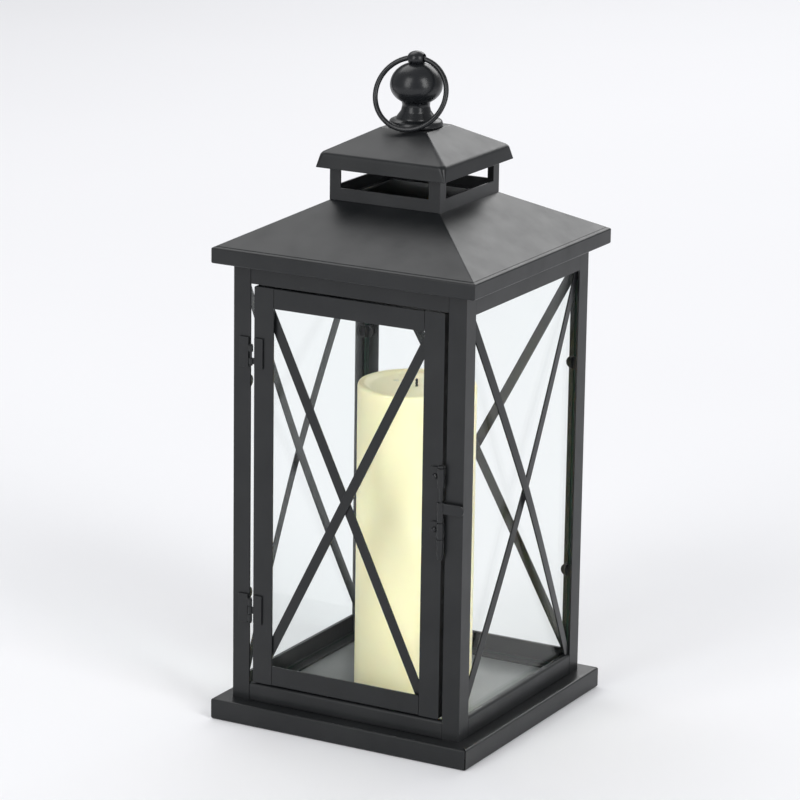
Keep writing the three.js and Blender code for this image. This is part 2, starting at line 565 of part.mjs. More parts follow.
put(candle, "led", turned([
  [0, ledLow], [2.9, ledLow], [2.9, ledLow + 1], [2.5, ledLow + 1], [2.5, ledLow + 3.4], [2.2, ledLow + 4.5],
  [1.3, ledLow + 5.3], [0, ledLow + 5.6],
], 20), lens);
put(candle, "wick", turned([
  [0, CANDLE_ROOF + 0.5], [WICK_R, CANDLE_ROOF + 0.5], [WICK_R, WICK_TOP - 1.7], [0.85, WICK_TOP - 0.6],
  [0.5, WICK_TOP - 0.1], [0, WICK_TOP],
], 14), wickBlack);
put(candle, "sensor_window", turned([
  [0, CANDLE_ROOF + 0.7], [SENSOR.r, CANDLE_ROOF + 0.7], [SENSOR.r, CANDLE_DISH], [1.4, CANDLE_DISH + 0.3],
  [0, CANDLE_DISH + 0.4],
], 16).translate(SENSOR.x, SENSOR.y, 0), ivory);

export default lantern;
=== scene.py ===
"""A square metal lantern with an LED pillar candle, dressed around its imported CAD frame. Lengths in metres."""
import json
import math

import bmesh
import bpy
from mathutils import Matrix, Vector

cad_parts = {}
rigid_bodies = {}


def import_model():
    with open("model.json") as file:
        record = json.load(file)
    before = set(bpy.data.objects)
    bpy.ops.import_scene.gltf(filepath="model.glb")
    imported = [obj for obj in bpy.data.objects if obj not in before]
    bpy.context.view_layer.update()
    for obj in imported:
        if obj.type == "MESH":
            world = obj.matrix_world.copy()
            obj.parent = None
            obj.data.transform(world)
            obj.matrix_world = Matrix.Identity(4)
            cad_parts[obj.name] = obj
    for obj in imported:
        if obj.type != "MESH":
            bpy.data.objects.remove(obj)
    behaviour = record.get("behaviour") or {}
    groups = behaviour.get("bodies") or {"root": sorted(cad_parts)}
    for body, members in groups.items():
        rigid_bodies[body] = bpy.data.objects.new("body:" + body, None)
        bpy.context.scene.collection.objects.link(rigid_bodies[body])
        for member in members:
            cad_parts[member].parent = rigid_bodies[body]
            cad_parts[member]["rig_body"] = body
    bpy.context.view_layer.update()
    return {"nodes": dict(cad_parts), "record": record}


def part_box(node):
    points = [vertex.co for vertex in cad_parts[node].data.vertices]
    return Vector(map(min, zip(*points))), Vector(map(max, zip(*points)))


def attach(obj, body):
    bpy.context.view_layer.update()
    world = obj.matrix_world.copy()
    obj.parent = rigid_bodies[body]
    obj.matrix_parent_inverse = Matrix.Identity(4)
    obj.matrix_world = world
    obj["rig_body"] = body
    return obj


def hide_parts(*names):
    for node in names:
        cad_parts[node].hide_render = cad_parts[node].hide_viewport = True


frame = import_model()
MM = 0.001

# ---- camera ----
VIEW_AZIMUTH = math.radians(28.96)
VIEW_ELEVATION = math.radians(15.2)
VIEW_ROLL = math.radians(0.83)
VIEW_DISTANCE = 2.4212
VIEW_SIDE = -0.0073        # how far the aim lies to the right of the axis
VIEW_HEIGHT = 0.2015       # height of the aim
LENS_MM = 172.8
SENSOR_MM = 36.0

# ---- sheet metal ----
FOLD_RADIUS = 1.1 * MM     # outside radius of a folded corner
INNER_FOLD = 0.35 * MM
EDGE_ROUND = 0.22 * MM     # softened cut edge
WIDE_FACE = 2.4 * MM       # a face narrower than this is a cut edge, not a wall
CLEARANCE = 0.3 * MM       # air the CAD leaves between pieces that touch
PANE_RUN_ON = 2.2 * MM     # how far a pane runs on behind its posts
PANE_FACE_AREA = 0.01      # square metres; a pane's faces are larger than this and its edges smaller
CHAMBER_HALF = 78          # millimetres; half the width of the tray's top that shows as the chamber's floor and carries its painted light

# ---- round pieces ----
FINE = 96
SMALL = 40


# ---------------------------------------------------------------- node helpers
def new_material(name):
    material = bpy.data.materials.new(name)
    material.use_nodes = True
    tree = material.node_tree
    tree.nodes.clear()
    output = tree.nodes.new("ShaderNodeOutputMaterial")
    shader = tree.nodes.new("ShaderNodeBsdfPrincipled")
    tree.links.new(shader.outputs["BSDF"], output.inputs["Surface"])
    return material, tree, shader, output


def noise(tree, scale, detail=3.0, roughness=0.55, stretch=None, distortion=0.0):
    coordinates = tree.nodes.new("ShaderNodeTexCoord")
    source = coordinates.outputs["Object"]
    if stretch is not None:
        mapping = tree.nodes.new("ShaderNodeMapping")
        mapping.inputs["Scale"].default_value = stretch
        tree.links.new(source, mapping.inputs["Vector"])
        source = mapping.outputs["Vector"]
    node = tree.nodes.new("ShaderNodeTexNoise")
    node.inputs["Scale"].default_value = scale
    node.inputs["Detail"].default_value = detail
    node.inputs["Roughness"].default_value = roughness
    node.inputs["Distortion"].default_value = distortion
    tree.links.new(source, node.inputs["Vector"])
    return node.outputs["Fac"]


def spread(tree, value, low, high, from_low=0.3, from_high=0.7):
    node = tree.nodes.new("ShaderNodeMapRange")
    node.inputs["From Min"].default_value = from_low
    node.inputs["From Max"].default_value = from_high
    node.inputs["To Min"].default_value = low
    node.inputs["To Max"].default_value = high
    tree.links.new(value, node.inputs["Value"])
    return node.outputs["Result"]


def blend_colours(tree, factor, first, second):
    node = tree.nodes.new("ShaderNodeMix")
    node.data_type = "RGBA"
    for socket, colour in ((6, first), (7, second)):
        if isinstance(colour, bpy.types.NodeSocket):
            tree.links.new(colour, node.inputs[socket])
        else:
            node.inputs[socket].default_value = (*colour, 1.0)
    tree.links.new(factor, node.inputs[0])
    return node.outputs[2]


def add_bump(tree, shader, height, distance, strength=1.0):
    node = tree.nodes.new("ShaderNodeBump")
    node.inputs["Distance"].default_value = distance
    node.inputs["Strength"].default_value = strength
    tree.links.new(height, node.inputs["Height"])
    tree.links.new(node.outputs["Normal"], shader.inputs["Normal"])
    return node


# ---------------------------------------------------------------- materials
def powder_coat(name, dark, light, rough_low, rough_high, peel=0.000012):
    """Satin powder coat: cloudy tone, patchy gloss and a fine orange-peel skin."""
    material, tree, shader, _ = new_material(name)
    cloud = spread(tree, noise(tree, 38.0, 4.0), 0.0, 1.0)
    tree.links.new(blend_colours(tree, cloud, dark, light), shader.inputs["Base Color"])
    patch = noise(tree, 60.0, 5.0, 0.6)
    tree.links.new(spread(tree, patch, rough_low, rough_high), shader.inputs["Roughness"])
    shader.inputs["Specular IOR Level"].default_value = 0.37
    add_bump(tree, shader, noise(tree, 1500.0, 2.0), peel, 0.6)
    return material


def make_glass():
    """Float glass. Lamps shine straight through it, and its own faces still mirror and bend what is seen."""
    material, tree, shader, output = new_material("pane_glass")
    shader.inputs["Transmission Weight"].default_value = 1.0
    shader.inputs["IOR"].default_value = 1.17
    haze = spread(tree, noise(tree, 14.0, 4.0), 0.0, 0.018)
    tree.links.new(haze, shader.inputs["Roughness"])
    drift = spread(tree, noise(tree, 6.0, 1.0), 0.0, 1.0)
    tint = blend_colours(tree, drift, (0.968, 0.986, 0.980), (0.980, 0.992, 0.988))
    tree.links.new(tint, shader.inputs["Base Color"])
    clear = tree.nodes.new("ShaderNodeBsdfTransparent")
    clear.inputs["Color"].default_value = (0.94, 0.97, 0.96, 1.0)
    path = tree.nodes.new("ShaderNodeLightPath")
    mix = tree.nodes.new("ShaderNodeMixShader")
    tree.links.new(path.outputs["Is Shadow Ray"], mix.inputs[0])
    tree.links.new(shader.outputs["BSDF"], mix.inputs[1])
    tree.links.new(clear.outputs["BSDF"], mix.inputs[2])
    tree.links.new(mix.outputs["Shader"], output.inputs["Surface"])
    return material


def make_ground_edge():
    """The ground rim of a pane: dark bottle green and matt."""
    material, tree, shader, _ = new_material("pane_edge")
    grit = spread(tree, noise(tree, 400.0, 3.0), 0.0, 1.0)
    green = blend_colours(tree, grit, (0.010, 0.030, 0.022), (0.018, 0.048, 0.036))
    tree.links.new(green, shader.inputs["Base Color"])
    tree.links.new(spread(tree, grit, 0.45, 0.65), shader.inputs["Roughness"])
    shader.inputs["Specular IOR Level"].default_value = 0.3
    return material


def make_wax():
    """Ivory wax: soft light inside it, faint mottling and a slightly greasy sheen."""
    material, tree, shader, _ = new_material("candle_wax")
    mottle = spread(tree, noise(tree, 42.0, 5.0, 0.6), 0.0, 1.0)
    streak = spread(tree, noise(tree, 30.0, 3.0, 0.5, stretch=(1.0, 1.0, 0.12)), 0.0, 1.0)
    base = blend_colours(tree, mottle, (0.985, 0.84, 0.52), (0.99, 0.88, 0.58))
    tone = blend_colours(tree, streak, base, (0.99, 0.86, 0.55))
    tree.links.new(tone, shader.inputs["Base Color"])
    shader.inputs["Subsurface Weight"].default_value = 0.45
    shader.inputs["Subsurface Radius"].default_value = (1.0, 0.75, 0.4)
    shader.inputs["Subsurface Scale"].default_value = 0.005
    tree.links.new(spread(tree, noise(tree, 70.0, 3.0), 0.42, 0.55), shader.inputs["Roughness"])
    add_bump(tree, shader, noise(tree, 120.0, 4.0, 0.6), 0.00012, 0.5)
    return material


def make_plastic(name, first, second, rough_low, rough_high, grain=900.0, depth=0.00002):
    """Moulded plastic with a fine spark-eroded grain."""
    material, tree, shader, _ = new_material(name)
    cloud = spread(tree, noise(tree, 60.0, 3.0), 0.0, 1.0)
    tree.links.new(blend_colours(tree, cloud, first, second), shader.inputs["Base Color"])
    tree.links.new(spread(tree, noise(tree, 150.0, 3.0), rough_low, rough_high), shader.inputs["Roughness"])
    add_bump(tree, shader, noise(tree, grain, 2.0), depth, 0.7)
    return material


def make_steel(name, first, second, stretch):
    """Plated metal with a drawn grain."""
    material, tree, shader, _ = new_material(name)
    grain = noise(tree, 220.0, 3.0, 0.6, stretch=stretch)
    shade = blend_colours(tree, spread(tree, grain, 0.0, 1.0), first, second)
    tree.links.new(shade, shader.inputs["Base Color"])
    shader.inputs["Metallic"].default_value = 1.0
    tree.links.new(spread(tree, grain, 0.28, 0.42), shader.inputs["Roughness"])
    add_bump(tree, shader, grain, 0.00002, 0.4)
    return material


def make_lens():
    material, tree, shader, _ = new_material("led_lens")
    swirl = spread(tree, noise(tree, 500.0, 2.0), 0.0, 1.0)
    amber = blend_colours(tree, swirl, (0.95, 0.86, 0.62), (0.98, 0.92, 0.74))
    tree.links.new(amber, shader.inputs["Base Color"])
    shader.inputs["Transmission Weight"].default_value = 0.6
    tree.links.new(spread(tree, swirl, 0.08, 0.16), shader.inputs["Roughness"])
    return material


FINISH = {
    "black_metal": powder_coat("black_metal", (0.008, 0.009, 0.010), (0.013, 0.014, 0.015), 0.28, 0.37),
    "finial_metal": powder_coat(
        "finial_metal", (0.007, 0.008, 0.009), (0.011, 0.012, 0.014), 0.22, 0.31, 0.00003),
    "pane_glass": make_glass(),
    "candle_wax": make_wax(),
    "candle_plastic": make_plastic("candle_plastic", (0.74, 0.68, 0.47), (0.79, 0.74, 0.54), 0.45, 0.58),
    "dark_plastic": make_plastic("dark_plastic", (0.012, 0.011, 0.010), (0.030, 0.027, 0.024), 0.55, 0.75),
    "circuit_board": make_plastic("circuit_board", (0.02, 0.11, 0.05), (0.03, 0.15, 0.07), 0.3, 0.45, 300.0),
    "screw_steel": make_steel("screw_steel", (0.45, 0.46, 0.47), (0.60, 0.61, 0.62), (1.0, 1.0, 6.0)),
    "battery_can": make_steel("battery_can", (0.16, 0.17, 0.18), (0.26, 0.27, 0.28), (1.0, 1.0, 0.1)),
    "led_lens": make_lens(),
}
PANE_EDGE = make_ground_edge()
# Painted light: a lighter, smoother copy of the black coat for the tray's top inside the chamber, so that floor
# reads brighter than the same sheet outside.
CHAMBER_FLOOR_LIGHT = powder_coat("chamber_floor_painted_light", (0.110, 0.115, 0.119), (0.140, 0.146, 0.150), 0.30, 0.40, 0.000004)
# Painted shade: a near-black matt copy of the coat, put on the latch stile's free edge to darken the slit beside
# the post.
SLIT_PAINTED_SHADE = powder_coat("slit_painted_shade", (0.0006, 0.0006, 0.0007), (0.001, 0.001, 0.0012), 0.70, 0.85)
SLOT_OF = {row["node"]: row["material_slot"] for row in frame["record"]["subparts"]}


# ---------------------------------------------------------------- mesh helpers
def make_object(name, bm, smooth=True):
    bmesh.ops.recalc_face_normals(bm, faces=bm.faces)
    mesh = bpy.data.meshes.new(name)
    bm.to_mesh(mesh)
    bm.free()
    for polygon in mesh.polygons:
        polygon.use_smooth = smooth
    obj = bpy.data.objects.new(name, mesh)
    bpy.context.scene.collection.objects.link(obj)
    return obj


def even_normals(obj, sharp=math.radians(42)):
    """Flat walls stay flat next to their rounded edges."""
    obj.data.set_sharp_from_angle(angle=sharp)
    modifier = obj.modifiers.new("even_normals", "WEIGHTED_NORMAL")
    modifier.keep_sharp = True
    modifier.weight = 60


def stand_for(obj, *nodes):
    """The piece takes the place, body and finish of these CAD nodes."""
    slot = SLOT_OF[nodes[0]]
    if not obj.data.materials:
        obj.data.materials.append(FINISH[slot])
    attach(obj, frame["nodes"][nodes[0]]["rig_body"])
    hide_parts(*nodes)
    return obj


def face_span(edge, face):
    return face.calc_area() / max(edge.calc_length(), 1e-9)


def bevel(bm, edges, offset, segments):
    if edges:
        bmesh.ops.bevel(bm, geom=edges, offset=offset, offset_type="OFFSET", segments=segments,
                        profile=0.5, affect="EDGES", clamp_overlap=True)


def reach_out(bm, node, reaches):
    """Moves a piece's end faces outwards, as (axis, side, distance), so that it meets its neighbour."""
    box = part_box(node)
    for axis, side, distance in reaches:
        face = box[1][axis] if side > 0 else box[0][axis]
        for v in bm.verts:
            if abs(v.co[axis] - face) < CLEARANCE:
                v.co[axis] += side * distance


def soft_copy(node, fold=FOLD_RADIUS, edge=EDGE_ROUND, extra=None, reaches=(), flat=1.0):
    """A copy of a CAD sheet with rounded folds and softened cut edges."""
    bm = bmesh.new()
    bm.from_mesh(frame["nodes"][node].data)
    bmesh.ops.remove_doubles(bm, verts=bm.verts, dist=0.002 * MM)
    bmesh.ops.dissolve_limit(bm, angle_limit=math.radians(flat), verts=bm.verts, edges=bm.edges)
    reach_out(bm, node, reaches)

    def sharp_edges(least):
        return [e for e in bm.edges if len(e.link_faces) == 2 and e.calc_face_angle() > math.radians(least)]

    if fold:
        walls = [e for e in sharp_edges(30) if all(face_span(e, f) > WIDE_FACE for f in e.link_faces)]
        inner = [e for e in walls if e.calc_face_angle_signed() < 0]
        outer = [e for e in walls if e.calc_face_angle_signed() > 0]
        bevel(bm, outer, fold, 5)
        inner = [e for e in inner if e.is_valid]
        bevel(bm, inner, INNER_FOLD, 2)
    if extra:
        chosen = [e for e in sharp_edges(40) if extra[0](e)]
        bevel(bm, chosen, extra[1], 4)
    bevel(bm, sharp_edges(40), edge, 2)
    obj = make_object(node + "_skin", bm)
    even_normals(obj)
    return obj


def rounded(corners, closed=False, steps=5):
    """Points along a line of (a, b, radius) corners, with an arc at each corner that has a radius."""
    points = []
    count = len(corners)
    for i, (a, b, radius) in enumerate(corners):
        here = Vector((a, b))
        if radius <= 0 or (not closed and i in (0, count - 1)):
            points.append((a, b))
            continue
        before = (Vector(corners[i - 1][:2]) - here).normalized()
        after = (Vector(corners[(i + 1) % count][:2]) - here).normalized()
        half = before.angle(after) / 2
        centre = here + (before + after).normalized() * (radius / math.sin(half))
        start = here + before * (radius / math.tan(half)) - centre
        end = here + after * (radius / math.tan(half)) - centre
        first = math.atan2(start.y, start.x)
        turn = (math.atan2(end.y, end.x) - first + math.pi) % (2 * math.pi) - math.pi
        for step in range(steps + 1):
            angle = first + turn * step / steps
            points.append((centre.x + radius * math.cos(angle), centre.y + radius * math.sin(angle)))
    return points


def skin_rings(bm, rings, closed):
    pairs = list(zip(rings, rings[1:])) + ([(rings[-1], rings[0])] if closed else [])
    for low, high in pairs:
        if len(low) == 1 and len(high) == 1:
            continue
        count = max(len(low), len(high))
        for i in range(count):
            j = (i + 1) % count
            loop = [low[i % len(low)], low[j % len(low)], high[j % len(high)], high[i % len(high)]]
            unique = [v for k, v in enumerate(loop) if v not in loop[:k]]
            if len(unique) > 2:
                bm.faces.new(unique)


def turned(profile, segments=FINE, centre=(0.0, 0.0), closed=False):
    """A profile of (radius, z) in millimetres turned about an upright axis."""
    bm = bmesh.new()
    rings = []
    for radius, z in profile:
        if radius < 1e-6:
            rings.append([bm.verts.new((0, 0, z * MM))])
            continue
        rings.append([bm.verts.new((radius * MM * math.cos(t), radius * MM * math.sin(t), z * MM))
                      for t in (2 * math.pi * k / segments for k in range(segments))])
    skin_rings(bm, rings, closed)
    bmesh.ops.translate(bm, verts=bm.verts, vec=(centre[0] * MM, centre[1] * MM, 0))
    return bm


def folded(profile, corner, closed=True, steps=4):
    """A profile of (half width, z) in millimetres carried round a square with rounded corners."""
    bm = bmesh.new()
    rings = []
    for half, z in profile:
        radius = min(corner(half, z) if callable(corner) else corner, half)
        ring = []
        for quarter in range(4):
            for step in range(steps + 1):
                t = math.pi / 2 * (quarter + step / steps)
                sx, sy = ((1, 1), (-1, 1), (-1, -1), (1, -1))[quarter]
                ring.append(bm.verts.new((
                    (sx * (half - radius) + radius * math.cos(t)) * MM,
                    (sy * (half - radius) + radius * math.sin(t)) * MM, z * MM)))
        rings.append(ring)
    skin_rings(bm, rings, closed)
    if not closed:
        bm.faces.new(rings[0])
        bm.faces.new(rings[-1])
    return bm


def cut_away(obj, *cutters):
    """Takes the cutters' shapes out of the piece, and removes them."""
    for cutter in cutters:
        modifier = obj.modifiers.new("cut", "BOOLEAN")
        modifier.operation = "DIFFERENCE"
        modifier.solver = "EXACT"
        modifier.object = cutter
        bpy.context.view_layer.update()
        result = bpy.data.meshes.new_from_object(obj.evaluated_get(bpy.context.evaluated_depsgraph_get()))
        obj.modifiers.clear()
        obj.data = result
        bpy.data.objects.remove(cutter)
    return obj


# ---------------------------------------------------------------- plinth, roof, cap
def size_of(node):
    """Half width, low z and high z of a square node, in millimetres."""
    low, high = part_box(node)
    return (high.x - low.x) / 2 / MM, low.z / MM, high.z / MM


def make_base():
    """Folded tray: a top sheet and four skirts that meet in open seams at the corners, hemmed underneath."""
    half, low, high = size_of("base_tray")
    sheet, bend, hem, seam = 1.0, 1.3, 9.0, 0.45
    outline = rounded([
        (half - 3.0, high, 0), (half, high, bend), (half, low, 1.2), (half - hem, low, 0.3),
        (half - hem, low + sheet, 0.3), (half - sheet, low + sheet, 0.2), (half - sheet, high - sheet, 0.3),
        (half - 3.0, high - sheet, 0)], closed=True)
    bm = bmesh.new()
    for quarter in range(4):
        turn = Matrix.Rotation(quarter * math.pi / 2, 3, "Z")
        rows = []
        for end in (-1, 1):
            rows.append([
                bm.verts.new(turn @ Vector((end * (h - seam) * MM, -h * MM, z * MM))) for h, z in outline])
        skin_rings(bm, rows, closed=False)
        bm.faces.new(rows[0])
        bm.faces.new(rows[1])
    inner = half - 3.0
    corners = [(-inner, -inner), (inner, -inner), (inner, inner), (-inner, inner)]
    bottom = [bm.verts.new((x * MM, y * MM, (high - sheet) * MM)) for x, y in corners]
    top = [bm.verts.new((x * MM, y * MM, high * MM)) for x, y in corners]
    room = CHAMBER_HALF
    floor = [bm.verts.new((x * MM, y * MM, high * MM))
             for x, y in ((-room, -room), (room, -room), (room, room), (-room, room))]
    skin_rings(bm, [bottom, top, floor], closed=False)
    bm.faces.new(bottom)
    # The chamber's floor face takes the painted light copy of the coat.
    bm.faces.new(floor).material_index = 1
    obj = make_object("base_tray_folded", bm)
    obj.data.materials.append(FINISH["black_metal"])
    obj.data.materials.append(CHAMBER_FLOOR_LIGHT)
    even_normals(obj)
    return stand_for(obj, "base_tray")


def make_roof():
    """Pressed roof: four slopes with tight hips, a shallow crease above the rim and a rim turned in below."""
    half, low, high = size_of("roof")
    eye, slope, skin = 37.0, 0.5066, 1.0
    rim_top = high - (half - eye) * slope
    rise = math.hypot(1, slope) * skin

    def on_slope(h, drop=0.0):
        return rim_top + (half - h) * slope - drop

    profile = rounded([
        (70.0, low, 0.3), (half, low, 0.9), (half, rim_top, 1.2),
        (half - 1.5, on_slope(half - 1.5), 0.3), (half - 1.95, on_slope(half - 1.95, 0.22), 0.15),
        (half - 2.4, on_slope(half - 2.4), 0.3),
        (eye, high, 0.3), (eye, high - rise, 0.3), (half - skin, on_slope(half - skin, rise), 0.4),
        (half - skin, low + skin, 0.4), (70.0, low + skin, 0.3)], closed=True, steps=4)
    obj = make_object("roof_pressed", folded(profile, lambda h, z: 0.9 if h > 40 else 0.6))
    even_normals(obj, math.radians(50))
    return stand_for(obj, "roof")


def make_cap():
    """Pressed cap: soft folds, and a rim that flares a little and is rounded at the corners."""
    half, low, high = size_of("cap")
    top_half, shoulder, rim_top = 16.5, 43.9, low + 9.0
    fall = (high - rim_top) / (shoulder - top_half)
    rise = math.hypot(1, fall)
    skin_in = shoulder - 1.0
    profile = rounded([
        (2.6, high - 1.0, 0), (top_half - 0.3, high - 1.0, 0.5),
        (skin_in, high - 1.0 - (skin_in - top_half) * fall, 1.4),
        (half - 1.0, low, 0.3), (half, low, 0.3), (shoulder, rim_top, 3.4), (top_half, high, 1.6),
        (2.6, high, 0)],
        closed=True, steps=8)

    def corner(h, z):
        """Sharp at the rim's foot, widest at the shoulder, tight again up the hips."""
        if h < 3:
            return 2.6
        if z < rim_top:
            return 0.8 + 3.2 * max(0.0, z - low) / (rim_top - low)
        return 1.2 + 2.8 * max(0.0, 1 - (z - rim_top) / 5.0)

    obj = make_object("cap_pressed", folded(profile, corner, steps=5))
    even_normals(obj, math.radians(50))
    return stand_for(obj, "cap")


# ---------------------------------------------------------------- finial and ring
FINIAL_EYE = (2.5, 419.75, math.radians(8))     # bore radius, height and turn, in millimetres


def bulge(radius, z, top, bottom, first, last, steps):
    """Part of an oval's outline, with its upper and lower halves of different heights."""
    return [(radius * math.cos(a), z + (top if a > 0 else bottom) * math.sin(a))
            for a in (first + (last - first) * i / steps for i in range(steps + 1))]


def make_finial():
    """Cast finial: flange, waisted neck, full ball and a knob with a rounded eye through it."""
    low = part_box("finial")[0].z / MM
    base = rounded([
        (2.3, low, 0), (16.8, low, 0.4), (17.0, 379.2, 1.2), (16.2, 381.2, 1.6), (13.9, 382.3, 1.0),
        (12.5, 382.4, 0.3), (12.1, 383.3, 0.5), (9.4, 387.0, 3.5), (8.6, 390.2, 3.0), (8.9, 392.6, 0.3),
    ], steps=6)
    ball = bulge(16.4, 403.0, 14.4, 12.3, -0.975, 1.25, 34)
    knob = bulge(6.1, 419.8, 4.6, 4.6, -0.72, math.pi / 2 - 0.06, 18)
    profile = base + ball + knob + [(0, 424.4), (0, 388.5), (2.3, 388.5)]
    obj = make_object("finial_cast", turned(profile, closed=True))
    bore, z, turn = FINIAL_EYE
    cutter = turned(rounded([
        (0, -9.0, 0), (bore + 0.5, -9.0, 0), (bore + 0.9, -5.4, 0.4), (bore, -3.6, 1.6), (bore, 3.6, 1.6),
        (bore + 0.9, 5.4, 0.4), (bore + 0.5, 9.0, 0), (0, 9.0, 0)], steps=5), SMALL)
    bmesh.ops.rotate(cutter, verts=cutter.verts, cent=(0, 0, 0), matrix=Matrix.Rotation(math.pi / 2, 3, "Y"))
    bmesh.ops.rotate(cutter, verts=cutter.verts, cent=(0, 0, 0), matrix=Matrix.Rotation(turn, 3, "Z"))
    bmesh.ops.translate(cutter, verts=cutter.verts, vec=(0, 0, z * MM))
    cut_away(obj, make_object("eye_cutter", cutter))
    for polygon in obj.data.polygons:
        polygon.use_smooth = True
    obj.data.set_sharp_from_angle(angle=math.radians(55))
    return stand_for(obj, "finial")


def make_ring():
    """Ring of round wire, butt-welded where it passes through the eye."""
    wire, radius, lean = 1.6, 23.0, math.radians(25.6)
    _, z, turn = FINIAL_EYE
    bm = bmesh.new()
    around, across = 160, 20
    rings = []
    for i in range(around):
        t = 2 * math.pi * i / around
        gap = min(t % (2 * math.pi), 2 * math.pi - t)
        thick = wire * (1 + 0.06 * math.exp(-(gap / 0.06) ** 2))
        rings.append([bm.verts.new((
            (radius + thick * math.cos(s)) * math.sin(t) * MM, thick * math.sin(s) * MM,
            (radius + thick * math.cos(s)) * math.cos(t) * MM))
            for s in (2 * math.pi * k / across for k in range(across))])
    skin_rings(bm, rings, closed=True)
    bmesh.ops.rotate(bm, verts=bm.verts, cent=(0, 0, 0), matrix=Matrix.Rotation(-lean, 3, "X"))
    drop = radius - 0.33
    bmesh.ops.translate(bm, verts=bm.verts,
                        vec=(0, -math.sin(lean) * drop * MM, -math.cos(lean) * drop * MM))
    bmesh.ops.rotate(bm, verts=bm.verts, cent=(0, 0, 0), matrix=Matrix.Rotation(turn, 3, "Z"))
    bmesh.ops.translate(bm, verts=bm.verts, vec=(0, 0, z * MM))
    return stand_for(make_object("ring_wire", bm), "ring_handle")


# ---------------------------------------------------------------- candle
def make_candle():
    """Wax shell with a rolled rim that wavers slightly, a shallow dished top and a hole for the wick."""
    low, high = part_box("candle_shell")
    centre = ((low.x + high.x) / 2 / MM, (low.y + high.y) / 2 / MM)
    radius, bottom, top = (high.x - low.x) / 2 / MM, low.z / MM, high.z / MM
    inner = radius - 3.0
    profile = rounded([
        (inner, bottom, 0.3), (radius, bottom, 0.9), (radius, top, 2.4), (radius - 4.6, top, 3.0),
        (radius - 8.5, top - 1.9, 5.0), (1.4, top - 2.4, 0.4), (1.4, top - 7.0, 0), (inner, top - 7.0, 0.4)],
        closed=True, steps=8)
    rows = []
    for i, (r, z) in enumerate(profile):
        rows.append((r, z))
        following = profile[(i + 1) % len(profile)]
        if abs(following[1] - z) > 20 or abs(following[0] - r) > 8:
            rows += [(r + (following[0] - r) * k / 24, z + (following[1] - z) * k / 24) for k in range(1, 24)]
    bm = turned(rows, 128, closed=True)
    for v in bm.verts:
        angle = math.atan2(v.co.y, v.co.x)
        reach = math.hypot(v.co.x, v.co.y) / MM
        if reach < radius - 8:
            continue
        rim = max(0.0, 1 - (top - v.co.z / MM) / 6.0)
        v.co.z -= rim * (0.22 + 0.14 * math.sin(3 * angle + 0.8) + 0.08 * math.sin(7 * angle)) * MM
        if reach > radius - 0.5:
            wave = 0.10 * math.sin(2 * angle + 9 * v.co.z) + 0.05 * math.sin(5 * angle - 40 * v.co.z)
            pull = 1 - (0.16 + wave) / radius
            v.co.x *= pull
            v.co.y *= pull
    bmesh.ops.translate(bm, verts=bm.verts, vec=(centre[0] * MM, centre[1] * MM, 0))
    obj = make_object("candle_wax_shell", bm)
    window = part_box("sensor_window")
    spot = ((window[0].x + window[1].x) / 2 / MM, (window[0].y + window[1].y) / 2 / MM)
    hole = turned([(0, top - 9), (2.1, top - 9), (2.1, top + 2), (0, top + 2)], SMALL, spot)
    cut_away(obj, make_object("sensor_cutter", hole))
    for polygon in obj.data.polygons:
        polygon.use_smooth = True
    obj.data.set_sharp_from_angle(angle=math.radians(50))
    return stand_for(obj, "candle_shell")


def make_wick():
    """Stub of twisted wick that narrows at its end."""
    low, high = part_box("wick")
    centre = (low + high) / 2
    bm = bmesh.new()
    rings = []
    steps = 26
    for i in range(steps + 1):
        t = i / steps
        z = low.z + (high.z - low.z) * t
        size = 0.88 * MM * (1 - 0.12 * t) * (1 if t < 0.94 else 1 - 0.75 * (t - 0.94) / 0.06)
        ring = []
        for k in range(18):
            s = 2 * math.pi * k / 18
            strand = 1 + 0.13 * math.cos(3 * (s - 9.0 * t))
            ring.append(bm.verts.new((centre.x + size * strand * math.cos(s),
                                      centre.y + size * strand * math.sin(s), z)))
        rings.append(ring)
    skin_rings(bm, rings, closed=False)
    bm.faces.new(rings[0])
    bm.faces.new(rings[-1])
    return stand_for(make_object("wick_twisted", bm), "wick")


# ---------------------------------------------------------------- small turned hardware
def upright(node, profile, segments=SMALL):
    """A piece turned about the node's own upright axis; z counts from the node's foot, in millimetres."""
    low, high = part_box(node)
    centre = ((low.x + high.x) / 2 / MM, (low.y + high.y) / 2 / MM)
    foot = low.z / MM
    obj = make_object(node + "_turned", turned([(r, foot + z) for r, z in profile], segments, centre))
    obj.data.set_sharp_from_angle(angle=math.radians(50))
    return stand_for(obj, node)


def make_pin(node):
    low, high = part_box(node)
    tall = (high.z - low.z) / MM
    return upright(node, rounded([
        (0, 0, 0), (1.2, 0, 0.5), (1.2, 0.6, 0.1), (0.7, 0.6, 0), (0.7, tall - 0.6, 0), (1.2, tall - 0.6, 0.1),
        (1.2, tall, 0.5), (0, tall, 0)], steps=4))


def make_latch_rod():
    """Rod with a swollen foot that ends in a blunt tip, and a small head."""
    low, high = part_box("latch_rod")
    tall = (high.z - low.z) / MM
    return upright("latch_rod", rounded([
        (0, 0, 0), (1.15, 0, 0.5), (1.6, 1.6, 0.8), (2.2, 5.0, 2.0), (2.25, 13.4, 0.3), (1.2, 13.4, 0),
        (1.2, tall - 1.6, 0), (1.9, tall - 1.6, 0.2), (1.9, tall, 0.6), (0, tall, 0)], steps=4))


